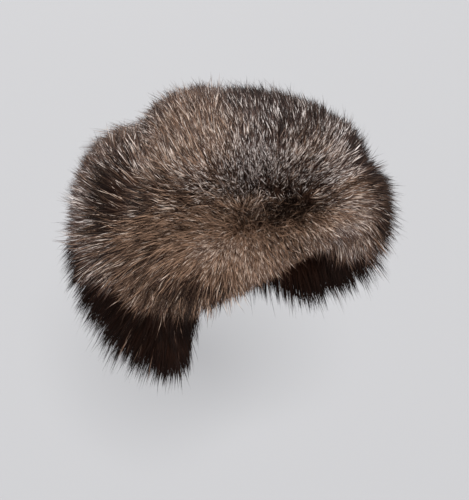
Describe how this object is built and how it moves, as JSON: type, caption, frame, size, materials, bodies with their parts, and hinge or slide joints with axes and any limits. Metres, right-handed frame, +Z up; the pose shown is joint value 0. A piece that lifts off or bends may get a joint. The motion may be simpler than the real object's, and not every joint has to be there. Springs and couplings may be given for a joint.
{
  "type": "fur hat",
  "caption": "Round deep-fur hat of hide panels, with a swept crown, a full cuff parted over the brow and dark fur hanging over ears and nape.",
  "frame": {"origin": "where the top of the head meets the inside of the crown", "axes": "+Z up as the hat is worn, the wearer faces -Y, so +X is the wearer's left"},
  "size_m": [0.3129, 0.3327, 0.2748],
  "materials": {
    "hide": "matt suede side of a fur hide",
    "crown_fur": "long grey fur with black tips and pale bands",
    "cuff_fur": "long grey-brown fur with pale bands over tan underfur",
    "nape_fur": "long black-brown fur"
  },
  "bodies": {
    "root": {"crown_hide_front_right": "hide", "crown_hide_front_left": "hide", "crown_hide_back_right": "hide", "crown_hide_back_left": "hide", "band_hide_front_right": "hide", "band_hide_front_left": "hide", "band_hide_back_right": "hide", "band_hide_back_left": "hide", "nape_hide": "hide", "crown_fur": "crown_fur", "front_cuff_fur": "cuff_fur", "back_cuff_fur": "cuff_fur", "nape_fur": "nape_fur"}
  },
  "joints": []
}
